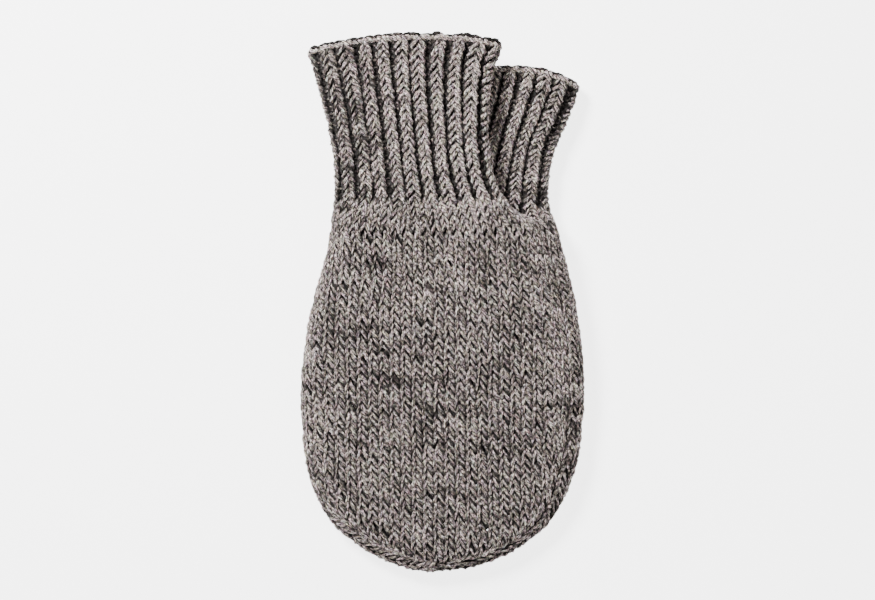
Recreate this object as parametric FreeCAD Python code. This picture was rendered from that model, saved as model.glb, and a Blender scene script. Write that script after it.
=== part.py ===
import FreeCAD, Part
import math
import os

os.makedirs("parts", exist_ok=True)

# A knitted wool mitten for two hands, lying flat: one closed hand bag whose wrist end
# carries two ribbed cuffs that lie one on the other. Z is up, Y runs from toe to cuffs.
# All sizes are in millimetres.

# Fabric
FABRIC = 4.2                 # stocking stitch wall of the hand
CUFF_FABRIC = 4.0            # wall of a wrist tube and of a ribbed cuff

# Heights, lying flat
CUFF_HEIGHT = 14.0           # one flattened cuff tube
LAYER_GAP = 0.4              # air between the two cuffs
WRIST_HEIGHT = 2 * CUFF_HEIGHT + LAYER_GAP
TOE_HEIGHT = 14.0            # height of the hand at its tip
FLOOR_PRESS = 0.4            # how far the underside is pressed flat where it lies

# Places along Y
WRIST_LINE = 36.0            # top of the crotch bridge, where the two tubes part
RIB_LINE = 50.0              # plain wrist rows end and the ribbing starts
TOE_LINE = -126.0            # grafted toe closing starts
TIP = -136.5
CAST_ON_DEPTH = 4.0          # width of the cast-on edge strip
JOINT_GAP = 0.2              # half the gap between a cuff and its wrist tube

# Joint travel of the wrist tubes, turning flat on the wrist line
WRIST_SWING_DEG = 8.0
SWING_RELIEF_DEG = WRIST_SWING_DEG + 0.5
SWING_CLEARANCE = 0.3

# Side bands of the decrease columns, measured inwards from the outline
BAND_OUTER = 6.0
BAND_INNER = 16.5
BAND_END = 22.0              # distance from the middle where a band runs into the toe closing
BAND_OVERRUN = 40.0          # how far the cutting strip runs on past the wrist line

# Half width of the hand at each station along Y
HAND_STATIONS = [
    (36.0, 57.6),
    (15.0, 63.4),
    (-10.0, 68.5),
    (-35.0, 71.6),
    (-55.0, 72.2),
    (-77.0, 69.6),
    (-92.0, 65.0),
    (-105.0, 58.4),
    (-115.0, 50.6),
    (-123.0, 41.2),
    (-129.0, 31.0),
    (-133.5, 20.0),
    (TIP, 8.0),
]

# Left and right side of each wrist and cuff tube at stations along Y
FRONT_CUFF_STATIONS = [
    (36.0, -57.4, 48.0),
    (50.0, -55.8, 33.0),
    (64.0, -55.6, 26.4),
    (80.0, -56.4, 23.8),
    (100.0, -60.0, 23.6),
    (120.0, -64.8, 25.0),
    (140.0, -70.0, 29.6),
]
REAR_CUFF_STATIONS = [
    (36.0, -48.0, 57.4),
    (50.0, -33.8, 55.8),
    (64.0, -26.4, 55.6),
    (77.0, -22.4, 57.2),
    (90.0, -19.8, 60.6),
    (105.0, -17.8, 66.4),
    (125.0, -16.4, 73.4),
]

# Three points of each cast-on edge, seen from above
FRONT_RIM = [(-67.0, 129.0), (-12.0, 136.5), (28.0, 132.6)]
REAR_RIM = [(-17.0, 117.2), (27.0, 121.6), (69.0, 112.0)]

# Larger than the part, for cutting tools
FAR = 400.0


def hand_height(y):
    """Height of the hand at y: it thins evenly from the wrist to the tip."""
    share = (WRIST_LINE - y) / (WRIST_LINE - TIP)
    return WRIST_HEIGHT + (TOE_HEIGHT - WRIST_HEIGHT) * share


def flat_tube_wire(y, x_left, x_right, z_low, z_high):
    """Section of a flattened tube: flat top and bottom, half-round sides."""
    radius = (z_high - z_low) / 2
    z_mid = (z_high + z_low) / 2
    low_left = FreeCAD.Vector(x_left + radius, y, z_low)
    low_right = FreeCAD.Vector(x_right - radius, y, z_low)
    high_right = FreeCAD.Vector(x_right - radius, y, z_high)
    high_left = FreeCAD.Vector(x_left + radius, y, z_high)
    right_side = FreeCAD.Vector(x_right, y, z_mid)
    left_side = FreeCAD.Vector(x_left, y, z_mid)
    return Part.Wire([
        Part.LineSegment(low_left, low_right).toShape(),
        Part.Arc(low_right, right_side, high_right).toShape(),
        Part.LineSegment(high_right, high_left).toShape(),
        Part.Arc(high_left, left_side, low_left).toShape(),
    ])


def loft(wires):
    return Part.makeLoft(wires, True, False)


def block(x_low, x_high, y_low, y_high, z_low, z_high):
    corner = FreeCAD.Vector(x_low, y_low, z_low)
    return Part.makeBox(x_high - x_low, y_high - y_low, z_high - z_low, corner)


def slab(y_low, y_high):
    """Everything between two planes across Y."""
    return block(-FAR, FAR, y_low, y_high, -FAR, FAR)


def prism(points, z_low, z_high):
    """Upright prism on a polygon drawn in the XY plane."""
    corners = [FreeCAD.Vector(x, y, z_low) for x, y in points]
    face = Part.Face(Part.makePolygon(corners + corners[:1]))
    return face.extrude(FreeCAD.Vector(0, 0, z_high - z_low))


def hand_solid(inset):
    """The hand as one solid, its surface moved inwards by inset."""
    wires = []
    for y, half_width in HAND_STATIONS:
        side = max(half_width - inset, (hand_height(y) + FLOOR_PRESS) / 2)
        z_low = inset - FLOOR_PRESS
        wires.append(flat_tube_wire(y, -side, side, z_low, hand_height(y) - inset))
    return loft(wires)


def hand_outline_face(inset):
    """Face bounded by the hand's outline, moved inwards by inset and open past the wrist."""
    first_y, first_width = HAND_STATIONS[0]
    stations = [(first_y + BAND_OVERRUN, first_width)] + HAND_STATIONS
    right = [FreeCAD.Vector(half_width, y, 0) for y, half_width in stations]
    left = [FreeCAD.Vector(-half_width, y, 0) for y, half_width in reversed(stations)]
    outline = Part.BSplineCurve()
    outline.interpolate(right + left)
    moved = []
    for point in right + left:
        tangent = outline.tangent(outline.parameter(point))[0]
        moved.append(point + FreeCAD.Vector(tangent.y, -tangent.x, 0) * inset)
    inner = Part.BSplineCurve()
    inner.interpolate(moved)
    closing = Part.LineSegment(moved[-1], moved[0])
    return Part.Face(Part.Wire([inner.toShape(), closing.toShape()]))


def cuff_tube(stations, z_low):
    """Hollow tube of one wrist and cuff, from the wrist line to past its rim."""
    z_high = z_low + CUFF_HEIGHT
    outer = loft([flat_tube_wire(y, left, right, z_low, z_high) for y, left, right in stations])
    return outer.cut(cuff_bore(stations, z_low))


def cuff_bore(stations, z_low):
    wires = []
    for y, left, right in stations:
        wires.append(flat_tube_wire(
            y,
            left + CUFF_FABRIC,
            right - CUFF_FABRIC,
            z_low + CUFF_FABRIC,
            z_low + CUFF_HEIGHT - CUFF_FABRIC,
        ))
    return loft(wires)


def beyond_rim(rim, inset):
    """Everything past a cast-on edge moved towards the hand by inset."""
    start, middle, end = [FreeCAD.Vector(x, y - inset, -FAR) for x, y in rim]
    curve = Part.Arc(start, middle, end).toShape()
    corners = [
        end,
        FreeCAD.Vector(FAR, end.y, -FAR),
        FreeCAD.Vector(FAR, FAR, -FAR),
        FreeCAD.Vector(-FAR, FAR, -FAR),
        FreeCAD.Vector(-FAR, start.y, -FAR),
        start,
    ]
    edges = [Part.LineSegment(a, b).toShape() for a, b in zip(corners, corners[1:])]
    face = Part.Face(Part.Wire([curve] + edges))
    return face.extrude(FreeCAD.Vector(0, 0, 2 * FAR))


def swing_relief(pivot_x):
    """Wedge on each side of the pivot that lets a wrist tube turn without meeting the hand."""
    rise = FAR * math.tan(math.radians(SWING_RELIEF_DEG))
    base = WRIST_LINE + SWING_CLEARANCE
    points = [
        (pivot_x - FAR, base + rise),
        (pivot_x, base),
        (pivot_x + FAR, base + rise),
        (pivot_x + FAR, -FAR),
        (pivot_x - FAR, -FAR),
    ]
    return prism(points, -FAR, FAR)


def build_hand():
    """Panels, side bands, toe closing and crotch bridge of the hand."""
    outer = hand_solid(0).common(block(-FAR, FAR, -FAR, FAR, 0, FAR))
    bridge_line = WRIST_LINE - FABRIC
    walls = outer.common(slab(TOE_LINE, bridge_line)).cut(hand_solid(FABRIC))

    tall = FreeCAD.Vector(0, 0, FAR)
    within_outer = hand_outline_face(BAND_OUTER).extrude(tall)
    strip = within_outer.cut(hand_outline_face(BAND_INNER).extrude(tall))
    side_line = [
        FreeCAD.Vector(-FAR, WRIST_LINE, WRIST_HEIGHT / 2),
        FreeCAD.Vector(-FAR, TIP, TOE_HEIGHT / 2),
        FreeCAD.Vector(-FAR, TIP, FAR),
        FreeCAD.Vector(-FAR, WRIST_LINE, FAR),
    ]
    upper = Part.Face(Part.makePolygon(side_line + side_line[:1]))
    upper = upper.extrude(FreeCAD.Vector(2 * FAR, 0, 0))
    right = block(BAND_END, FAR, -FAR, FAR, -FAR, FAR)
    left = block(-FAR, -BAND_END, -FAR, FAR, -FAR, FAR)
    right_strip = strip.common(right).common(upper)
    left_strip = strip.common(left).cut(upper)

    panels = walls.cut(right_strip).cut(left_strip)
    panels = sorted(panels.Solids, key=lambda solid: solid.CenterOfMass.z)
    mouths = [
        cuff_bore(shift_stations(FRONT_CUFF_STATIONS), CUFF_HEIGHT + LAYER_GAP),
        cuff_bore(shift_stations(REAR_CUFF_STATIONS), 0),
    ]
    bridge = outer.common(slab(bridge_line, WRIST_LINE))
    for mouth in mouths:
        bridge = bridge.cut(mouth)
    return {
        "front_panel": panels[-1],
        "back_panel": panels[0],
        "right_side_band": walls.common(right_strip),
        "left_side_band": walls.common(left_strip),
        "toe_closing": outer.common(slab(TIP, TOE_LINE)),
        "crotch_bridge": bridge,
    }


def shift_stations(stations):
    """The same tube carried on below the wrist line, to cut its mouth in the bridge."""
    y, left, right = stations[0]
    return [(y - 2 * FABRIC, left, right)] + stations


def build_cuff(side, stations, z_low, rim):
    """Wrist tube, ribbed cuff and cast-on edge of one side."""
    tube = cuff_tube(stations, z_low)
    base = stations[0]
    pivot_x = (base[1] + base[2]) / 2
    wrist = tube.common(slab(WRIST_LINE, RIB_LINE - JOINT_GAP)).cut(swing_relief(pivot_x))
    cuff = tube.common(slab(RIB_LINE + JOINT_GAP, FAR)).cut(beyond_rim(rim, 0))
    edge_zone = beyond_rim(rim, CAST_ON_DEPTH)
    return {
        side + "_wrist": wrist,
        side + "_cuff_rib": cuff.cut(edge_zone),
        side + "_cuff_edge": cuff.common(edge_zone),
    }


nodes = build_hand()
nodes.update(build_cuff("front", FRONT_CUFF_STATIONS, CUFF_HEIGHT + LAYER_GAP, FRONT_RIM))
nodes.update(build_cuff("rear", REAR_CUFF_STATIONS, 0, REAR_RIM))

for name, shape in nodes.items():
    solid = shape.Solids[0]
    box = solid.optimalBoundingBox()
    print(
        name,
        "solids", len(shape.Solids),
        "valid", solid.isValid(),
        "volume", round(solid.Volume),
        "x", round(box.XMin, 2), round(box.XMax, 2),
        "y", round(box.YMin, 2), round(box.YMax, 2),
        "z", round(box.ZMin, 2), round(box.ZMax, 2),
    )
    solid.exportStep("parts/" + name + ".step")
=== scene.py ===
import math

import bpy
import numpy as np
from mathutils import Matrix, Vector


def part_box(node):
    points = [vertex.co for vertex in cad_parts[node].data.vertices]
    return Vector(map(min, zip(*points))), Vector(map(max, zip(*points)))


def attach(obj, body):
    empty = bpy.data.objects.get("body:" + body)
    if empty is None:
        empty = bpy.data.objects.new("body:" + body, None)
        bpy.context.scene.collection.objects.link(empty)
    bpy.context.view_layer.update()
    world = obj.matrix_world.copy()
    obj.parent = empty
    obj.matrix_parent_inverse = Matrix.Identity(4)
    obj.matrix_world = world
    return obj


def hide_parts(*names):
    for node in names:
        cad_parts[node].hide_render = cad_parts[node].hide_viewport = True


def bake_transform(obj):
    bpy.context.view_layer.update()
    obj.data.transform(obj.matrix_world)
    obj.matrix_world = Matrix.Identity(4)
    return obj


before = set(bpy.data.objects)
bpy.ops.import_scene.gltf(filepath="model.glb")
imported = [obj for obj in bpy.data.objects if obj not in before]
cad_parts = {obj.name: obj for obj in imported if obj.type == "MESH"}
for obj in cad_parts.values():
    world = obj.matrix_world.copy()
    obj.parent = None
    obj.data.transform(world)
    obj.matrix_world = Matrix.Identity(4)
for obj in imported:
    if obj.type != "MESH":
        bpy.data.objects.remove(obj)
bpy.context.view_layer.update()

MM = 0.001
RNG = np.random.default_rng(11)

# ---------------------------------------------------------------- sizes, mm
WRIST_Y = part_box("crotch_bridge")[1].y / MM
WRIST_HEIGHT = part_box("crotch_bridge")[1].z / MM
TIP_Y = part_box("toe_closing")[0].y / MM
TOE_HEIGHT = 14.0

STITCH = 5.6             # width of a stocking stitch
YARN = 0.98              # yarn radius
PLY_PITCH = 26.0         # length of yarn in which its plies turn once
PLY_LOBE = 0.16          # how far the three plies stand out, as a share of the radius
SWELL = 0.16             # how much fuller the yarn is where a loop's arms come to the front
DEPTH = 1.5              # half the travel of the yarn through the fabric
OVERHANG = 0.30          # how far a loop bulges sideways, in stitches
REACH = 1.20             # half the height of a loop, in rows
LEAN = -0.21             # sideways lean of every loop from the yarn's twist, in stitches
STEPS = 15               # yarn points to a stitch
SIDES = 6
TOE_ROW = 42             # panel rows from here on belong to the toe closing
TOE_BAND_ROW = 44        # and these rows of the side bands

# Painted shade: yarn that lies deep in the fabric has its colour darkened, standing in for the shade in
# the crevices between stitches
DEEPEST_PAINTED_SHADE = 0.02              # painted shade of wool sunk in the fabric, against 1 on its face
PAINTED_SHADE_DARKEST_BELOW = 1.85        # height over the fabric's middle where the painted shade is darkest, and where it ends
PAINTED_SHADE_ENDS_ABOVE = 2.7

HALF_FABRIC = DEPTH + YARN

# Silhouette of the hand, read from the photo's silhouette: (y, left x, right x)
HAND_OUTLINE = [
    (60.0, -57.5, 57.5), (39.0, -56.0, 58.0), (27.0, -58.5, 61.0), (15.0, -62.0, 64.5),
    (3.0, -65.5, 67.5), (-10.0, -68.5, 69.5), (-34.0, -72.0, 72.5), (-52.0, -72.5, 72.5),
    (-77.0, -70.5, 70.0), (-90.0, -67.0, 65.5), (-102.0, -61.5, 60.0), (-114.0, -53.0, 51.0),
    (-126.0, -38.0, 36.0), (-134.0, -20.5, 16.0),
]
TIP_X = -9.0
OUTLINE_STEP = 0.5
OUTLINE_BLUR = 10.0      # in outline steps
# Loops sink where two columns meet, so at the edge the yarn stops short of the fabric's face
SIDE_SINK = 0.6
TOE_SINK = 3.2
SINK_FROM, SINK_TO = -60.0, -115.0      # y between which the sink changes


def smoothstep(x):
    x = np.clip(x, 0.0, 1.0)
    return x * x * (3 - 2 * x)


def cumulative(points):
    """Length along a line of points, from its first point."""
    steps = np.linalg.norm(np.diff(points, axis=0), axis=1)
    return np.concatenate([[0.0], np.cumsum(steps)])


def resample(points, spots):
    """Points of a line at the given lengths along it."""
    at = cumulative(points)
    return np.stack([np.interp(spots, at, points[:, k]) for k in range(points.shape[1])], axis=1)


def resample_at(spot, at, points):
    """Point of a line at one length along it."""
    return np.array([np.interp(spot, at, points[:, k]) for k in range(points.shape[1])])


def blur(values, sigma, axis=0, wrap=False):
    """Gaussian smoothing of an array along one axis, sigma in samples."""
    reach = int(math.ceil(3 * sigma))
    weights = np.exp(-0.5 * (np.arange(-reach, reach + 1) / sigma) ** 2)
    weights /= weights.sum()
    moved = np.moveaxis(values, axis, 0)
    padded = np.concatenate([moved[-reach:], moved, moved[:reach]]) if wrap else np.concatenate(
        [np.repeat(moved[:1], reach, 0), moved, np.repeat(moved[-1:], reach, 0)]
    )
    out = sum(w * padded[k:k + len(moved)] for k, w in enumerate(weights))
    return np.moveaxis(out, 0, axis)


# ---------------------------------------------------------------- the hand's surface
def hand_outline():
    """Middle line of the fabric at the hand's edge, from the right wrist round the toe."""
    rows = np.array(HAND_OUTLINE)
    right = np.stack([rows[:, 2], rows[:, 0]], axis=1)
    left = np.stack([rows[::-1, 1], rows[::-1, 0]], axis=1)
    line = np.concatenate([right, [[TIP_X, TIP_Y]], left])
    line = resample(line, np.arange(0, cumulative(line)[-1], OUTLINE_STEP))
    line = blur(line, OUTLINE_BLUR)
    tangent = np.gradient(line, axis=0)
    tangent /= np.linalg.norm(tangent, axis=1)[:, None]
    inward = np.stack([tangent[:, 1], -tangent[:, 0]], axis=1)
    toe_share = smoothstep((line[:, 1] - SINK_FROM) / (SINK_TO - SINK_FROM))
    sunk = SIDE_SINK + (TOE_SINK - SIDE_SINK) * toe_share
    return line + inward * (HALF_FABRIC - sunk)[:, None]


OUTLINE = hand_outline()
TIP_INDEX = int(np.argmin(OUTLINE[:, 1]))
BOTTOM_Y = OUTLINE[TIP_INDEX, 1]
HAND_ROWS = 44           # rows of the front and back panels
FIRST_ROW = -2.0         # the sheets start this far above the wrist
ROUND_ROW = 36           # from here the bands' rows are spaced along the edge, round to the tip
BAND_ROWS = 55           # rows of the side bands
EDGE_ROUND = 13.0        # how far in from the edge the hand reaches its full height
BAND_WIDTH = 4.9         # width of one band column
GROOVE_INSET = 2.7       # distance from the edge to the line between a band's two columns
PANEL_END = 3.4          # distance from the tip to the end of the panels
TIP_OVERLAP = 4.0        # how far each band runs on past the tip
GROOVE_FROM = -85.0      # y from which a band's middle line closes in on the edge
GROOVE_FADE = 42.0       # and the distance in which it would reach it
ROW_DROP = (WRIST_Y - BOTTOM_Y - PANEL_END) / HAND_ROWS
ROW_STEP = 0.5           # rows between two lines of a sheet
SHEET_STEP = 0.5         # mm between the points of a line of the hand's sheets
SHEET_BLUR = 1.0         # in lines
FEET_BLUR = 1.5
PANEL_REACH = 125.0      # how far a panel's sheet runs to either side of its centre line
BAND_REACH = 24.0
# Soft hollows and swells of the front as it lies: (x, y, reach in x, reach in y, height)
RELIEF = [
    (-12.0, 12.0, 26.0, 16.0, -2.2), (-20.0, -55.0, 22.0, 20.0, -1.4), (28.0, -20.0, 26.0, 30.0, 1.0),
    (-45.0, -20.0, 14.0, 40.0, 1.0), (20.0, -95.0, 26.0, 16.0, -1.0), (-25.0, -100.0, 22.0, 16.0, 0.8),
    (30.0, 20.0, 16.0, 10.0, 0.8),
]


def outline_sides(y):
    """Left and right x of the outline at height y."""
    right = OUTLINE[:TIP_INDEX + 1][::-1]
    left = OUTLINE[TIP_INDEX:]
    return np.interp(y, left[:, 1], left[:, 0]), np.interp(y, right[:, 1], right[:, 0])


def outline_distance(points):
    """Distance of each point from the outline, to every second point of it."""
    gaps = ((points[:, None, :] - OUTLINE[None, ::2, :]) ** 2).sum(axis=2)
    return np.sqrt(gaps.min(axis=1))


def half_height(y):
    """Half the distance between the front and back fabric's middle surfaces."""
    share = np.clip((WRIST_Y - y) / (WRIST_Y - TIP_Y), 0, 1)
    outer = WRIST_HEIGHT + (TOE_HEIGHT - WRIST_HEIGHT) * share ** 0.8
    return outer / 2 - HALF_FABRIC


def relief(x, y):
    """Height of the hollows and swells at x, y."""
    return sum(h * np.exp(-((x - cx) / wx) ** 2 - ((y - cy) / wy) ** 2) for cx, cy, wx, wy, h in RELIEF)


def edge_profile(distance, radius):
    """Share of the full height at a distance from an edge that is rounded over the given radius."""
    inside = np.clip(distance / radius, 0, 1)
    return np.sqrt(np.clip(1 - (1 - inside) ** 2, 0, 1))


def place(x, y, distance, face):
    """Point of the front (face 1) or back (face -1) fabric's middle surface above x, y."""
    tall = half_height(y)
    height = tall * edge_profile(distance, EDGE_ROUND)
    bumps = relief(x, y) * height / tall * (face > 0)
    return np.stack([x, y, tall + HALF_FABRIC + face * height + bumps], axis=-1)


TURN = np.linspace(0, np.pi / 2, 46)    # the quarter turn of the hand's edge


def over_edge(y):
    """Distance from the outline, and length over the fabric, from the very edge inwards."""
    tall = half_height(y)
    distance = EDGE_ROUND * (1 - np.cos(TURN))
    return distance, cumulative(np.stack([distance, tall * np.sin(TURN)], axis=1))


def groove(y):
    """Length over the fabric from the very edge to a band's middle line, which nears it at the toe."""
    distance, arc = over_edge(y)
    closed = smoothstep((GROOVE_FROM - y) / GROOVE_FADE)
    return np.interp(GROOVE_INSET, distance, arc) * (1 - closed)


def hand_ring(r):
    """Closed line of row r: over the front from left to right, then back underneath.

    Returns its points, their lengths along it, the lengths at the front and back centres, and the
    two ends of the front and of the back panel, measured from those centres.
    """
    y_row = WRIST_Y - ROW_DROP * r
    left, right = outline_sides(y_row)
    half, centre = (right - left) / 2, (right + left) / 2
    across = centre - half * np.cos(np.linspace(0, np.pi, 221))
    y = np.full(len(across), y_row)
    distance = outline_distance(np.stack([across, y], axis=1))
    distance[[0, -1]] = 0.0
    front = place(across, y, distance, 1)
    back = place(across, y, distance, -1)[::-1]
    ring = np.concatenate([front, back[1:]])
    at = cumulative(ring)
    n = len(front)
    total = at[-1]
    front_centre = np.interp(0.0, across, at[:n])
    back_centre = np.interp(0.0, -across[::-1], at[n - 1:])

    depths, arcs = over_edge(y_row)
    arc = np.interp(distance, depths, arcs)
    middle = int(np.argmax(distance))
    edge = at[n - 1]

    def from_left(length):
        return np.sign(length) * np.interp(abs(length), arc[:middle + 1], at[:middle + 1])

    def from_right(length):
        return np.sign(length) * (edge - np.interp(-abs(length), -arc[middle:], at[middle:n]))

    inset = groove(y_row)
    near, far = BAND_WIDTH - inset, min(BAND_WIDTH + inset, arc.max() - 0.3)
    left_front, right_front = from_left(near), edge - from_right(far)
    right_back, left_back = edge + from_right(near), total - from_left(far)
    ends = [
        left_front - front_centre, right_front - front_centre,
        right_back - back_centre, left_back - back_centre,
    ]
    return ring, at, front_centre, back_centre, ends


class Sheet:
    """Middle surface of a piece of fabric: points on a grid of u (stitches or mm) and v (rows)."""

    def __init__(self, u, v, points):
        self.u, self.v, self.points = u, v, points
        du = np.gradient(points, axis=1)
        dv = np.gradient(points, axis=0)
        normal = np.cross(dv, du)
        normal /= np.linalg.norm(normal, axis=2)[:, :, None] + 1e-12
        self.normal = normal

    def at(self, u, v):
        """Position and outward normal at each u, v; runs straight on past the grid's ends."""
        fu = (u - self.u[0]) / (self.u[1] - self.u[0])
        fv = (v - self.v[0]) / (self.v[1] - self.v[0])
        iu = np.clip(np.floor(fu).astype(int), 0, len(self.u) - 2)
        iv = np.clip(np.floor(fv).astype(int), 0, len(self.v) - 2)
        a, b = (fu - iu)[:, None], (fv - iv)[:, None]
        out = []
        for grid in (self.points, self.normal):
            low = grid[iv, iu] * (1 - a) + grid[iv, iu + 1] * a
            high = grid[iv + 1, iu] * (1 - a) + grid[iv + 1, iu + 1] * a
            out.append(low * (1 - b) + high * b)
        out[1] /= np.linalg.norm(out[1], axis=1)[:, None] + 1e-12
        return out


def build_panels():
    """Front and back sheets in mm from their centre lines, and where the panels end in each row."""
    rows = np.arange(FIRST_ROW, HAND_ROWS + 0.01, ROW_STEP)
    u = np.arange(-PANEL_REACH, PANEL_REACH + 0.01, SHEET_STEP)
    front, back, ends = [], [], []
    for r in rows:
        ring, at, front_centre, back_centre, row_ends = hand_ring(r)
        total = at[-1]
        periodic = np.concatenate([ring[:-1], ring[:-1], ring])
        lengths = np.concatenate([at[:-1] - total, at[:-1], at + total])

        def line(centre):
            return np.stack([np.interp(centre + u, lengths, periodic[:, k]) for k in range(3)], axis=1)

        front.append(line(front_centre))
        back.append(line(back_centre))
        ends.append(row_ends)
    front, back, ends = (blur(np.array(lines), SHEET_BLUR) for lines in (front, back, ends))
    return Sheet(u, rows, front), Sheet(u, rows, back), rows, ends


def build_band(side):
    """Sheet of the right (1) or left (-1) edge: u over the edge in mm, 0 at the very edge."""
    at_outline = cumulative(OUTLINE)
    part = slice(0, TIP_INDEX + 1) if side > 0 else slice(TIP_INDEX, None)
    inward = np.gradient(OUTLINE, axis=0)
    inward /= np.linalg.norm(inward, axis=1)[:, None]
    inward = np.stack([inward[:, 1], -inward[:, 0]], axis=1)
    inner = (OUTLINE + inward * PANEL_END)[part]
    order = np.argsort(inner[:, 1])
    rows = np.arange(FIRST_ROW, BAND_ROWS + 0.01, ROW_STEP)
    knots = np.arange(FIRST_ROW, ROUND_ROW + 0.01, ROW_STEP)
    feet = np.interp(WRIST_Y - ROW_DROP * knots, inner[order, 1], at_outline[part][order])
    last = at_outline[TIP_INDEX] + side * TIP_OVERLAP
    feet = blur(np.interp(rows, np.append(knots, BAND_ROWS), np.append(feet, last)), FEET_BLUR)
    u = np.arange(-BAND_REACH, BAND_REACH + 0.01, SHEET_STEP)
    grid = np.empty((len(rows), len(u), 3))
    for n, foot in enumerate(feet):
        edge = resample_at(foot, at_outline, OUTLINE)
        way = resample_at(foot, at_outline, inward)
        depths, arcs = over_edge(edge[1])
        distance = np.interp(np.abs(u), arcs, depths) + np.clip(np.abs(u) - arcs[-1], 0, None)
        spots = edge + way * distance[:, None]
        face = np.where(-u * side > 0, 1.0, -1.0)
        grid[n] = place(spots[:, 0], spots[:, 1], distance, face)
    return Sheet(u, rows, blur(grid, SHEET_BLUR))


FRONT, BACK, END_ROWS, ENDS = build_panels()
RIGHT, LEFT = build_band(1), build_band(-1)


# ---------------------------------------------------------------- yarn
STRAND_GAP = 3.7         # length skipped in the wool's texture between two strands
WOOL_UV = [0.1, 1.0]     # texture per mm along the yarn, and per turn round it
LOOP_VARIES = 0.08       # how unevenly high loops are, as a share of their height
ROW_STRAY = 0.09         # how far stitches stray up or down, in rows
FACE_STRAY = 0.14        # and off the fabric's face, in mm
SIGN_TURN = 0.25         # share of a stitch in which the yarn passes from its face to the other


class Yarns:
    """Collects tubes of yarn and turns them into one mesh."""

    def __init__(self):
        self.verts, self.faces, self.uvs, self.tints, self.count = [], [], [], [], 0
        self.length = 0.0

    def tube(self, centre, normal, radius, tint, lift):
        """Adds one length of twisted yarn. radius, tint and lift off the fabric's middle are per point;
        lift sets the painted shade, which darkens the colour of yarn deep in the fabric.
        """
        tangent = np.gradient(centre, axis=0)
        tangent /= np.linalg.norm(tangent, axis=1)[:, None] + 1e-12
        side = np.cross(tangent, normal)
        side /= np.linalg.norm(side, axis=1)[:, None] + 1e-12
        up = np.cross(side, tangent)
        twist = (cumulative(centre) + self.length) / PLY_PITCH * 2 * np.pi
        angles = twist[:, None] + np.arange(SIDES)[None, :] / SIDES * 2 * np.pi
        lobes = 1 + PLY_LOBE * np.cos(np.arange(SIDES) * np.pi)
        reach = (radius[:, None] * lobes[None, :])[:, :, None]
        ring = (
            centre[:, None, :]
            + reach * np.sin(angles)[:, :, None] * up[:, None, :]
            + reach * np.cos(angles)[:, :, None] * side[:, None, :]
        )
        n = len(centre)
        self.verts.append(ring.reshape(-1, 3))
        i = np.arange(n - 1)[:, None]
        k = np.arange(SIDES)[None, :]
        nxt = (k + 1) % SIDES
        base = self.count
        quads = np.stack([
            base + i * SIDES + k, base + i * SIDES + nxt,
            base + (i + 1) * SIDES + nxt, base + (i + 1) * SIDES + k,
        ], axis=2).reshape(-1, 4)
        self.faces.append(quads)
        along = cumulative(centre) + self.length
        u0 = np.repeat(along[:-1], SIDES)
        u1 = np.repeat(along[1:], SIDES)
        v0 = np.tile(np.arange(SIDES), n - 1) / SIDES
        v1 = v0 + 1 / SIDES
        self.uvs.append(np.stack([
            np.stack([u0, v0], 1), np.stack([u0, v1], 1),
            np.stack([u1, v1], 1), np.stack([u1, v0], 1),
        ], axis=1).reshape(-1, 2))
        # Painted shade: the colour is painted dark where the yarn lies near the fabric's middle, in the
        # crevices, and light towards either face
        above = np.abs(lift[:, None] + reach[:, :, 0] * np.sin(angles))
        light = DEEPEST_PAINTED_SHADE + (1 - DEEPEST_PAINTED_SHADE) * smoothstep((above - PAINTED_SHADE_DARKEST_BELOW) / (PAINTED_SHADE_ENDS_ABOVE - PAINTED_SHADE_DARKEST_BELOW))
        self.tints.append((tint[:, None] * light).ravel())
        self.count += n * SIDES
        self.length += along[-1] - along[0] + STRAND_GAP

    def mesh(self, name):
        verts = np.concatenate(self.verts) * MM
        faces = np.concatenate(self.faces)
        uvs = np.concatenate(self.uvs)
        mesh = bpy.data.meshes.new(name)
        mesh.vertices.add(len(verts))
        mesh.vertices.foreach_set("co", verts.astype(np.float32).ravel())
        mesh.loops.add(faces.size)
        mesh.loops.foreach_set("vertex_index", faces.astype(np.int32).ravel())
        mesh.polygons.add(len(faces))
        mesh.polygons.foreach_set("loop_start", np.arange(0, faces.size, 4, dtype=np.int32))
        mesh.polygons.foreach_set("use_smooth", np.ones(len(faces), bool))
        layer = mesh.uv_layers.new(name="yarn")
        layer.data.foreach_set("uv", (uvs * WOOL_UV).astype(np.float32).ravel())
        # The tint attribute holds the yarn's random tone times its painted shade, darker for yarn deep in
        # the fabric
        tint = mesh.attributes.new("tint", "FLOAT", "POINT")
        tint.data.foreach_set("value", np.concatenate(self.tints).astype(np.float32))
        mesh.update(calc_edges=True)
        mesh.validate()
        obj = bpy.data.objects.new(name, mesh)
        bpy.context.scene.collection.objects.link(obj)
        return obj


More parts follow.
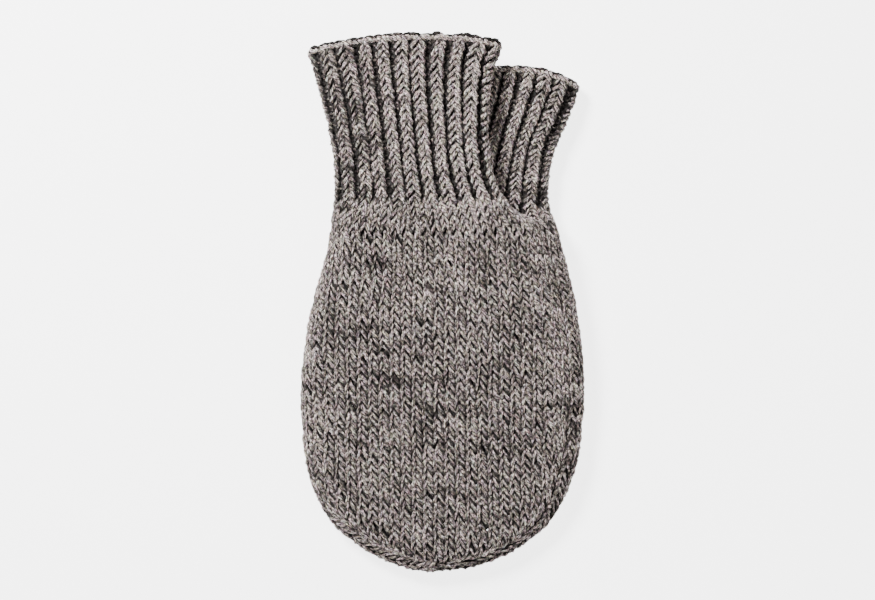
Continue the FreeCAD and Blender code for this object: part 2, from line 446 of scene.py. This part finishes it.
def course(sheet, bounds, row, wander, signs=None, relief_shift=0.0, overhang=OVERHANG, depth=DEPTH):
    """Centreline of the yarn through one row, with its normals, swell and lift off the middle.

    bounds(v) gives the stitch boundaries at row position v, an array (stitches + 1, len(v)).
    signs gives +1 for a knit and -1 for a purl stitch. wander is how far stitches stray
    sideways, in the sheet's u.
    """
    count = bounds(np.array([row])).shape[0] - 1
    t = np.linspace(0, 2 * np.pi, STEPS, endpoint=False)
    k = np.repeat(np.arange(count), STEPS)
    t = np.tile(t, count)
    k = np.append(k, count - 1)
    t = np.append(t, 2 * np.pi)
    if signs is None:
        signs = np.ones(count)
    amp = 1 + RNG.normal(size=count) * LOOP_VARIES
    shift_u = RNG.normal(size=count + 1) * wander
    shift_v = RNG.normal(size=count + 1) * ROW_STRAY
    shift_n = RNG.normal(size=count + 1) * FACE_STRAY
    share = t / (2 * np.pi)

    def between(values):
        return values[k] * (1 - share) + values[k + 1] * share

    v = row - REACH * amp[k] * np.cos(t) + between(shift_v)
    edge = bounds(v)
    low = edge[k, np.arange(len(k))]
    high = edge[k + 1, np.arange(len(k))]
    across = share + overhang * np.sin(2 * t) + LEAN * (np.cos(t) - 1) * 0.5
    u = low + (high - low) * across + between(shift_u)
    before = np.concatenate([signs[:1], signs])[k]
    after = np.concatenate([signs, signs[-1:]])[k + 1]
    past_start = smoothstep(share / SIGN_TURN)
    before_end = smoothstep((1 - share) / SIGN_TURN)
    sign = signs[k] * past_start * before_end
    sign = sign + (before + signs[k]) / 2 * (1 - past_start) + (after + signs[k]) / 2 * (1 - before_end)
    front = 1 - np.abs(np.cos(t)) ** 3
    n = depth * (2 * front - 1) * sign + relief_shift * sign + between(shift_n)
    point, normal = sheet.at(u, v)
    return point + normal * n[:, None], normal, 1 + SWELL * (2 * front - 1), n


def thickness(points, base, swell=1.0):
    """Yarn radius along its length: spun wool is never even."""
    noise = blur(RNG.normal(size=len(points)), 5.0)
    return base * (1 + 0.3 * noise) * swell


def tint_along(points):
    """Slow changes of shade along the yarn, around 0.6."""
    slow = blur(RNG.normal(size=len(points)), 12.0) * 2.2
    return np.clip(0.6 + 0.16 * slow, 0, 1)


# ---------------------------------------------------------------- hand courses
SQUEEZE = 0.6            # how softly columns run out against a band, in stitches
NARROWEST = 0.3          # a stitch narrower than this has been decreased away
MOST_COLUMNS = 20        # columns to either side of the centre line, more than ever fit
DRAW_IN = 0.075          # how much narrower stitches are at the wrist, as a share
DRAW_IN_ROWS = 14.0      # rows in which they reach their full width
HAND_WANDER = 0.4


def column_scale(v):
    """Stitches draw in a little towards the wrist."""
    return 1 - DRAW_IN * smoothstep((DRAW_IN_ROWS - v) / DRAW_IN_ROWS)


def soft_reach(distance):
    """Distance from a band, squeezed to stay above nought."""
    return SQUEEZE * STITCH * np.logaddexp(0, distance / (SQUEEZE * STITCH))


def panel_bounds(panel, row):
    """Boundaries of the front (0) or back (1) panel's stitches between the bands.

    Columns stand straight, and are squeezed out against the bands as the hand narrows.
    """
    def sides(v):
        return [np.interp(v, END_ROWS, ENDS[:, 2 * panel + k]) for k in (0, 1)]

    def columns(v, numbers):
        low, high = sides(v)
        at = numbers[:, None] * (STITCH * column_scale(v))[None, :]
        at = low + soft_reach(at - low)
        return high - soft_reach(high - at)

    low, high = sides(np.array([row]))
    numbers = np.arange(-MOST_COLUMNS, MOST_COLUMNS + 1)
    at = columns(np.array([row]), numbers)[:, 0]
    limit = NARROWEST * STITCH
    numbers = numbers[(at - low[0] > limit) & (high[0] - at > limit) & (np.gradient(at) > limit)]

    def bounds(v):
        low, high = sides(v)
        return np.vstack([low, columns(v, numbers), high])

    return bounds


def band_bounds(v):
    """Boundaries of a band's two columns, either side of its middle line."""
    y = np.interp(v, RIGHT.v, RIGHT.points[:, len(RIGHT.u) // 2, 1])
    centre = -np.array([groove(level) for level in y])
    return np.vstack([centre - BAND_WIDTH, centre, centre + BAND_WIDTH])


def knit_hand():
    pieces = {name: Yarns() for name in ("front", "back", "right", "left", "toe")}
    jobs = [("front", FRONT, 0), ("back", BACK, 1), ("right", RIGHT, None), ("left", LEFT, None)]
    for key, sheet, panel in jobs:
        count, toe_from = (BAND_ROWS, TOE_BAND_ROW) if panel is None else (HAND_ROWS, TOE_ROW)
        for index in range(count):
            row = index + 0.5
            bounds = band_bounds if panel is None else panel_bounds(panel, row)
            centre, normal, swell, lift = course(sheet, bounds, row, HAND_WANDER)
            radius = thickness(centre, YARN, swell)
            pieces["toe" if index >= toe_from else key].tube(
                centre, normal, radius, tint_along(centre), lift,
            )
    return pieces


# ---------------------------------------------------------------- cuffs
CUFF_STITCHES = 40
CUFF_DEPTH = 0.8         # half the travel of the yarn through the ribbing
CUFF_WANDER = 0.05
RIB_RELIEF = 1.25        # how far knit ribs stand out and purl ribs sink in
# Share of that relief at some columns, counted round the tube from its inner side
RELIEF_COLUMNS = [4, 22, 36, 39]
RELIEF_SHARES = [0.9, 0.55, 0.8, 0.9]
RIB_SPREAD = 0.13        # how far a knit rib spreads over its purl neighbours, in stitches
RIB_STRAY = 0.35         # how unevenly ribs run, in stitches
RIB_WIDER = 0.1          # how much further a loop bulges sideways in the ribbing
PURL_LIGHT = 1.1         # how much nearer the face purl stitches count for their painted shade
PURL_DEEP = -1.6         # except for yarn that lies deeper than this
PURL_FADE = 0.8          # over this height
RIB_SHADE = 0.22         # how much further from the face knit stitches count for their painted shade
RIB_YARN = 1.12          # yarn radius in the ribbing
CORD_LIFT = 3.4          # height over the fabric's middle at which cords and the seam count for their painted shade
PLAIN_ROWS = 4
WRIST_ROWS = 5           # rows in the wrist pieces, the first from the crotch
CUFF_ROWS = 26
TUBE_HALF = 3.75         # half the distance between the two fabrics of a cuff lying flat
REAR_MIDDLE = 7.1        # height of the rear tube's middle
FRONT_MIDDLE = 22.6
SIDE_ROUND = 6.0         # how far in from its side a tube reaches its full height
SIDE_SLACK = 0.4         # distance from a tube's outermost yarn to its silhouette
RIM_DROP = 1.6           # distance from the last row to the top of the cast-on edge
TUBE_FROM = -2.5         # the sheets start this many rows below the crotch
SINK_ROWS = 2.5          # rows over which the two tubes draw apart above the crotch
SIDES_ROWS = 3.5         # rows over which a tube takes on its own sides
FLAT_ROWS = 6.0          # and its own flat section
FINE = 4                 # points of a line to a stitch
WRAP = 8                 # points by which the lines overlap, so that loops can cross their ends
CUFF_BLUR = 0.8

# Sides of each cuff, the outer ones read from the photo's silhouette: (y, left x, right x)
FRONT_SIDES = [
    (30.0, -57.4, 54.0), (36.0, -57.2, 48.0), (44.0, -56.4, 38.6), (50.0, -55.8, 33.4),
    (57.0, -55.7, 29.2), (64.0, -55.7, 26.6), (76.0, -56.0, 24.2), (88.0, -57.9, 23.7),
    (100.0, -60.0, 23.7), (112.0, -63.0, 24.6), (124.0, -66.0, 26.6), (136.0, -69.6, 31.2),
    (145.0, -72.0, 34.5),
]
REAR_SIDES = [
    (30.0, -54.0, 60.0), (36.0, -48.0, 59.2), (44.0, -40.0, 56.9), (54.0, -31.5, 55.3),
    (64.0, -26.6, 55.4), (77.0, -22.4, 56.9), (87.0, -20.4, 59.4), (96.0, -18.8, 63.2),
    (104.0, -17.8, 66.3), (112.0, -17.0, 69.2), (125.0, -16.4, 72.6),
]
# Rim of each cuff: x and y of the highest point, then the fall to the left and the right end
FRONT_RIM = (-12.0, 135.6, 7.0, 4.0)
REAR_RIM = (27.0, 121.2, 4.4, 8.4)


class Cuff:
    """One tube from the crotch to its cast-on edge, seen from its own outer side."""

    def __init__(self, sides, rim, outer_up):
        self.sides, self.rim, self.outer_up = np.array(sides), rim, outer_up
        self.row = (rim[1] - RIM_DROP - WRIST_Y) / CUFF_ROWS
        self.sheet = self.build()

    def flat_ring(self, q):
        """Closed line of row q where the tube lies flat, starting at its inner side."""
        x_top, y_top, fall_left, fall_right = self.rim
        y0 = WRIST_Y + self.row * q
        left = np.interp(y0, self.sides[:, 0], self.sides[:, 1]) + HALF_FABRIC + SIDE_SLACK
        right = np.interp(y0, self.sides[:, 0], self.sides[:, 2]) - HALF_FABRIC - SIDE_SLACK
        half, centre = (right - left) / 2, (right + left) / 2
        across = centre + half * np.cos(np.linspace(0, np.pi, 161))
        height = TUBE_HALF * edge_profile(half - np.abs(across - centre), SIDE_ROUND)
        fall = np.where(
            across < x_top,
            fall_left * ((across - x_top) / (left - x_top)) ** 2,
            fall_right * ((across - x_top) / (right - x_top)) ** 3,
        )
        y = y0 - fall * smoothstep(q / CUFF_ROWS)
        middle = FRONT_MIDDLE if self.outer_up else REAR_MIDDLE
        top = np.stack([across, y, middle + height], axis=1)
        under = np.stack([across, y, middle - height], axis=1)
        if self.outer_up:
            return np.concatenate([top, under[::-1][1:]])
        return np.concatenate([under[::-1], top[1:]])

    def crotch_ring(self):
        """Points of the tube's first row over the hand's own edge, from band to band, and its bulge."""
        zero = np.zeros(1)
        sheet, panel = (FRONT, 0) if self.outer_up else (BACK, 1)
        bounds = panel_bounds(panel, 0.0)(zero)[::-1, 0]
        marks = np.concatenate([[bounds[0] + BAND_WIDTH], bounds, [bounds[-1] - BAND_WIDTH]])
        return sheet.at(marks, np.zeros(len(marks)))[0], HALF_FABRIC if self.outer_up else -HALF_FABRIC

    def build(self):
        """Sheet of the tube: u in stitches, v in rows below the crotch, so nought and less."""
        outer, lift = self.crotch_ring()
        self.outer_count = len(outer) - 1
        seam_count = CUFF_STITCHES - self.outer_count
        j = np.arange(0, CUFF_STITCHES + 0.001, 1 / FINE)
        outer_j = np.arange(self.outer_count + 1)
        base = np.empty((len(j), 3))
        on_outer = j <= self.outer_count
        for axis in range(3):
            base[on_outer, axis] = np.interp(j[on_outer], outer_j, outer[:, axis])
        share = ((j[~on_outer] - self.outer_count) / seam_count)[:, None]
        seam = outer[-1] * (1 - share) + outer[0] * share
        seam[:, 2] += lift * np.sin(np.pi * share[:, 0]) ** 0.5
        base[~on_outer] = seam
        rows = np.arange(TUBE_FROM, CUFF_ROWS + 1.01, ROW_STEP)
        grid = np.empty((len(rows), len(j), 3))
        for n, q in enumerate(rows):
            ring = self.flat_ring(max(q, 0.0))
            total = cumulative(ring)[-1]
            passed = self.outer_count - CUFF_STITCHES / 2 - 1.5
            flat = resample(ring, (j - passed) % CUFF_STITCHES / CUFF_STITCHES * total)
            rise = np.array([0.0, self.row * q, 0.0])
            smooth_base = blur(base[:-1], 0.1 + 1.2 * min(max(q, 0.0), 3.0), wrap=True)
            smooth_base = np.concatenate([smooth_base, smooth_base[:1]])
            mix = smoothstep(q / FLAT_ROWS)
            grid[n] = (smooth_base + rise) * (1 - mix) + flat * mix
            sink = smoothstep(q / SINK_ROWS)
            level = smooth_base[:, 2] * (1 - sink) + flat[:, 2] * sink
            outermost = np.maximum if self.outer_up else np.minimum
            grid[n, :, 2] = outermost(grid[n, :, 2], level)
            low, high = grid[n, :, 0].min(), grid[n, :, 0].max()
            span = flat[:, 0].max() - flat[:, 0].min()
            to_side = flat[:, 0].min() + (grid[n, :, 0] - low) / (high - low) * span
            pull = smoothstep(q / SIDES_ROWS)
            grid[n, :, 0] = grid[n, :, 0] * (1 - pull) + to_side * pull
        before, after = slice(-1 - WRAP, -1), slice(1, 1 + WRAP)
        wrapped = np.concatenate([grid[:, before], grid, grid[:, after]], axis=1)
        u = np.concatenate([j[before] - CUFF_STITCHES, j, j[after] + CUFF_STITCHES])
        wrapped = blur(wrapped, CUFF_BLUR)
        sheet = Sheet(u, -rows[::-1], wrapped[::-1])
        centre = sheet.points.mean(axis=1)
        outward = ((sheet.points - centre[:, None, :]) * sheet.normal).sum(axis=2).mean()
        if outward < 0:
            sheet.normal *= -1
        return sheet


def knit_cuff(cuff):
    pieces = {name: Yarns() for name in ("wrist", "rib", "edge")}
    inner = np.arange(CUFF_STITCHES) >= cuff.outer_count
    rib = np.where(np.arange(CUFF_STITCHES) % 2 == 0, 1.0, -1.0)
    columns = np.arange(CUFF_STITCHES + 1.0)
    spread = np.where(columns % 2 == 0, -RIB_SPREAD, RIB_SPREAD)
    stray = blur(RNG.normal(size=(CUFF_STITCHES, CUFF_ROWS + 3)), 4.0, axis=1) * RIB_STRAY
    stray = np.concatenate([stray, stray[:1]])

    stand_out = RIB_RELIEF * np.interp(np.arange(CUFF_STITCHES), RELIEF_COLUMNS, RELIEF_SHARES)
    relief_shift = np.append(np.repeat(stand_out, STEPS), stand_out[-1])

    def bounds(v):
        ribbed = smoothstep((-v - 1.5) / 3.0)
        wander = np.array([np.interp(-v, np.arange(CUFF_ROWS + 3) - 1.0, line) for line in stray])
        return columns[:, None] + (spread[:, None] + wander) * ribbed[None, :]

    for index in range(CUFF_ROWS):
        q = index + 0.5
        signs = np.where(index >= np.where(inner, 1, PLAIN_ROWS), rib, 1.0)
        ribbed = smoothstep((index - 1) / 3.0)
        centre, normal, swell, lift = course(
            cuff.sheet, bounds, -q, CUFF_WANDER, signs=signs, relief_shift=relief_shift * ribbed,
            overhang=OVERHANG + RIB_WIDER * ribbed, depth=DEPTH + (CUFF_DEPTH - DEPTH) * ribbed,
        )
        key = "wrist" if index < WRIST_ROWS else "edge" if index == CUFF_ROWS - 1 else "rib"
        radius = thickness(centre, YARN + (RIB_YARN - YARN) * ribbed, swell)
        # Painted shade of the ribbing: purl bumps count nearer the face, so they are painted lighter, and
        # knit ribs further, so they are painted darker
        purl = np.append(np.repeat(signs < 0, STEPS), signs[-1] < 0)
        bump = smoothstep((lift - PURL_DEEP) / PURL_FADE)
        lift = lift + np.where(purl, PURL_LIGHT * bump, -RIB_SHADE) * ribbed
        pieces[key].tube(centre, normal, radius, tint_along(centre), lift)
    add_cast_on(cuff, pieces["edge"])
    return pieces


CORD_SPLIT = 0.85        # distance of each strand from the cord's middle
CORD_YARN = 1.0
CORD_WAVE = 0.7          # how far the cord follows the ribs in and out
CORD_ROW = CUFF_ROWS + 0.15
CORD_STEPS = 10          # points to a stitch


def add_cast_on(cuff, yarns):
    """Corded cast-on edge: two strands twisted round each other, one turn to a stitch."""
    j = np.linspace(0, CUFF_STITCHES, CUFF_STITCHES * CORD_STEPS + 1)
    ribbing = np.cos(np.pi * (j - 0.5))
    point, normal = cuff.sheet.at(j, np.full(len(j), -CORD_ROW))
    along = np.gradient(point, axis=0)
    along /= np.linalg.norm(along, axis=1)[:, None]
    out = np.cross(along, normal)
    for phase in (0.0, np.pi):
        angle = 2 * np.pi * j + phase
        centre = (
            point
            + normal * (CORD_SPLIT * np.cos(angle) + CORD_WAVE * ribbing)[:, None]
            + out * (CORD_SPLIT * np.sin(angle))[:, None]
        )
        # Fixed height for the painted shade, which leaves the cords mostly light
        lift = np.full(len(centre), CORD_LIFT)
        yarns.tube(centre, normal, thickness(centre, CORD_YARN), tint_along(centre), lift)


# ---------------------------------------------------------------- crotch seam
SEAM_PITCH = 7.0         # length of seam in which each strand passes to both sides and back
SEAM_WIDE, SEAM_HIGH = 1.3, 0.7
SEAM_YARN = 1.1
SEAM_DROP = 1.0          # how far the seam lies below the crotch
SEAM_STEP = 0.45


def build_crotch(cuff):
    """Seam between the two tubes: three plaited strands, which read as a line of slanted stitches."""
    yarns = Yarns()
    start = cuff.sheet.at(np.array([0.0]), np.array([0.0]))[0][0]
    end = cuff.sheet.at(np.array([float(cuff.outer_count)]), np.array([0.0]))[0][0]
    share = np.linspace(0, 1, 60)[:, None]
    path = start * (1 - share) + end * share
    path[:, 1] -= SEAM_DROP
    length = cumulative(path)[-1]
    steps = int(length / SEAM_STEP)
    spots = np.linspace(0, length, steps)
    line = resample(path, spots)
    up = np.tile([0.0, -1.0, 0.0], (steps, 1))
    along = np.gradient(line, axis=0)
    along /= np.linalg.norm(along, axis=1)[:, None]
    side = np.cross(along, up)
    for strand in range(3):
        angle = 2 * np.pi * (spots / SEAM_PITCH + strand / 3)
        centre = (
            line
            + side * (SEAM_WIDE * np.sin(angle))[:, None]
            + up * (SEAM_HIGH * np.sin(2 * angle))[:, None]
        )
        # Fixed height for the painted shade, which leaves the seam mostly light
        lift = np.full(steps, CORD_LIFT)
        yarns.tube(centre, up, thickness(centre, SEAM_YARN), tint_along(centre), lift)
    return yarns


# ---------------------------------------------------------------- materials
# Noise and brightness of the fibres, from the dark ones to the light ones
WOOL_STOPS = [(0.39, 0.025), (0.46, 0.08), (0.50, 0.175), (0.54, 0.38), (0.60, 1.0)]
WOOL_GREEN, WOOL_BLUE = 0.84, 0.78      # shares of green and blue against red


def wool(name):
    """Heathered spun wool: fibre streaks along the yarn, slow shade changes, painted shade of yarn deep in
    the fabric from the tint attribute, and a soft sheen.
    """
    material = bpy.data.materials.new(name)
    material.use_nodes = True
    nodes, links = material.node_tree.nodes, material.node_tree.links
    shader = nodes["Principled BSDF"]
    shader.inputs["Roughness"].default_value = 0.95
    shader.inputs["Sheen Weight"].default_value = 0.06
    shader.inputs["Sheen Roughness"].default_value = 0.45
    shader.inputs["Sheen Tint"].default_value = (0.9, 0.87, 0.85, 1)
    shader.inputs["Specular IOR Level"].default_value = 0.12

    uv = nodes.new("ShaderNodeUVMap")
    uv.uv_map = "yarn"
    twist = nodes.new("ShaderNodeMapping")
    twist.inputs["Scale"].default_value = (3.2, 6.0, 1.0)
    links.new(uv.outputs["UV"], twist.inputs["Vector"])
    streaks = nodes.new("ShaderNodeTexNoise")
    streaks.inputs["Scale"].default_value = 2.1
    streaks.inputs["Detail"].default_value = 3.0
    streaks.inputs["Roughness"].default_value = 0.75
    links.new(twist.outputs["Vector"], streaks.inputs["Vector"])

    ramp = nodes.new("ShaderNodeValToRGB")
    elements = ramp.color_ramp.elements
    elements.remove(elements[0])
    for number, (spot, value) in enumerate(WOOL_STOPS):
        stop = elements[0] if number == 0 else elements.new(spot)
        stop.position = spot
        stop.color = (value, value * WOOL_GREEN, value * WOOL_BLUE, 1)
    links.new(streaks.outputs["Fac"], ramp.inputs["Fac"])

    flecks = nodes.new("ShaderNodeTexNoise")
    flecks.inputs["Scale"].default_value = 1.1
    links.new(twist.outputs["Vector"], flecks.inputs["Vector"])
    hue = nodes.new("ShaderNodeVectorMath")
    hue.operation = "MULTIPLY_ADD"
    hue.inputs[1].default_value = (0.7, 0.7, 0.7)
    hue.inputs[2].default_value = (0.65, 0.65, 0.65)
    links.new(flecks.outputs["Color"], hue.inputs[0])
    flecked = nodes.new("ShaderNodeVectorMath")
    flecked.operation = "MULTIPLY"
    links.new(ramp.outputs["Color"], flecked.inputs[0])
    links.new(hue.outputs["Vector"], flecked.inputs[1])

    # The tint attribute brings the random tone and the painted shade of yarn deep in the fabric into the
    # base colour
    tint = nodes.new("ShaderNodeAttribute")
    tint.attribute_name = "tint"
    shade = nodes.new("ShaderNodeMapRange")
    shade.inputs["To Min"].default_value = 0.02
    shade.inputs["To Max"].default_value = 1.9
    links.new(tint.outputs["Fac"], shade.inputs["Value"])
    mix = nodes.new("ShaderNodeVectorMath")
    mix.operation = "SCALE"
    links.new(flecked.outputs["Vector"], mix.inputs[0])
    links.new(shade.outputs["Result"], mix.inputs["Scale"])
    links.new(mix.outputs["Vector"], shader.inputs["Base Color"])

    bump = nodes.new("ShaderNodeBump")
    bump.inputs["Strength"].default_value = 0.5
    bump.inputs["Distance"].default_value = 0.0004
    links.new(streaks.outputs["Fac"], bump.inputs["Height"])
    links.new(bump.outputs["Normal"], shader.inputs["Normal"])
    return material


PLAIN_WOOL = wool("plain_wool")
RIB_WOOL = wool("rib_wool")
SEAM_WOOL = wool("seam_wool")


def dress(yarns, node, material):
    """Mesh of the yarns as the piece that replaces a node of the CAD."""
    piece = yarns.mesh(node + "_knit")
    piece.data.materials.append(material)
    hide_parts(node)
    return piece


def cross(piece):
    """Bakes the piece's placement into its mesh."""
    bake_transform(piece)


hand = knit_hand()
for key, node in (("front", "front_panel"), ("back", "back_panel"),
                  ("right", "right_side_band"), ("left", "left_side_band")):
    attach(dress(hand[key], node, PLAIN_WOOL), "hand")

front_cuff = Cuff(FRONT_SIDES, FRONT_RIM, True)
rear_cuff = Cuff(REAR_SIDES, REAR_RIM, False)
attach(dress(hand["toe"], "toe_closing", SEAM_WOOL), "hand")
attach(dress(build_crotch(front_cuff), "crotch_bridge", SEAM_WOOL), "hand")

for side, cuff in (("front", front_cuff), ("rear", rear_cuff)):
    parts = knit_cuff(cuff)
    wrist = dress(parts["wrist"], side + "_wrist", PLAIN_WOOL)
    cross(wrist)
    rib = dress(parts["rib"], side + "_cuff_rib", RIB_WOOL)
    cross(rib)
    edge = dress(parts["edge"], side + "_cuff_edge", RIB_WOOL)
    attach(edge, side + "_cuff")


# ---------------------------------------------------------------- stage, m
FLOOR_HALF = 2.0
FLOOR_DROP = 0.0004      # keeps the floor clear of the yarn that lies on it
VIEW_WIDTH = 0.44625     # width that the picture covers, in the plane at VIEW_HEIGHT over the floor
VIEW_HEIGHT = 0.02
VIEW_CENTRE = (-0.00255, 0.00153)
KEY_PLACE, KEY_SIZE, KEY_POWER = (-0.5, 0.6, 0.75), 0.3, 33
FILL_PLACE, FILL_SIZE, FILL_POWER = (0.6, -0.3, 0.9), 0.8, 6


def area_light(name, place, size, power):
    """Square light that faces the origin."""
    data = bpy.data.lights.new(name, "AREA")
    data.shape = "SQUARE"
    data.size = size
    data.energy = power
    lamp = bpy.data.objects.new(name, data)
    lamp.location = place
    lamp.rotation_euler = (-Vector(place)).to_track_quat("-Z", "Y").to_euler()
    bpy.context.scene.collection.objects.link(lamp)


def build_stage():
    """Pale floor, studio light and the camera, which looks straight down."""
    mesh = bpy.data.meshes.new("floor")
    corners = [(x * FLOOR_HALF, y * FLOOR_HALF, 0) for x, y in ((-1, -1), (1, -1), (1, 1), (-1, 1))]
    mesh.from_pydata(corners, [], [(0, 1, 2, 3)])
    floor = bpy.data.objects.new("floor", mesh)
    floor.location.z = -FLOOR_DROP
    bpy.context.scene.collection.objects.link(floor)
    material = bpy.data.materials.new("floor_paint")
    material.use_nodes = True
    shader = material.node_tree.nodes["Principled BSDF"]
    shader.inputs["Base Color"].default_value = (0.9, 0.9, 0.9, 1)
    shader.inputs["Roughness"].default_value = 0.9
    shader.inputs["Emission Color"].default_value = (1, 1, 1, 1)
    shader.inputs["Emission Strength"].default_value = 3.6
    floor.data.materials.append(material)

    world = bpy.data.worlds.new("studio")
    world.use_nodes = True
    world.node_tree.nodes["Background"].inputs["Color"].default_value = (1, 1, 1, 1)
    world.node_tree.nodes["Background"].inputs["Strength"].default_value = 0.14
    bpy.context.scene.world = world

    area_light("key", KEY_PLACE, KEY_SIZE, KEY_POWER)
    area_light("fill", FILL_PLACE, FILL_SIZE, FILL_POWER)

    data = bpy.data.cameras.new("camera")
    data.lens = 85
    data.sensor_width = 36
    camera = bpy.data.objects.new("camera", data)
    bpy.context.scene.collection.objects.link(camera)
    bpy.context.scene.camera = camera
    distance = VIEW_WIDTH * data.lens / data.sensor_width
    camera.location = (*VIEW_CENTRE, distance + VIEW_HEIGHT)


build_stage()
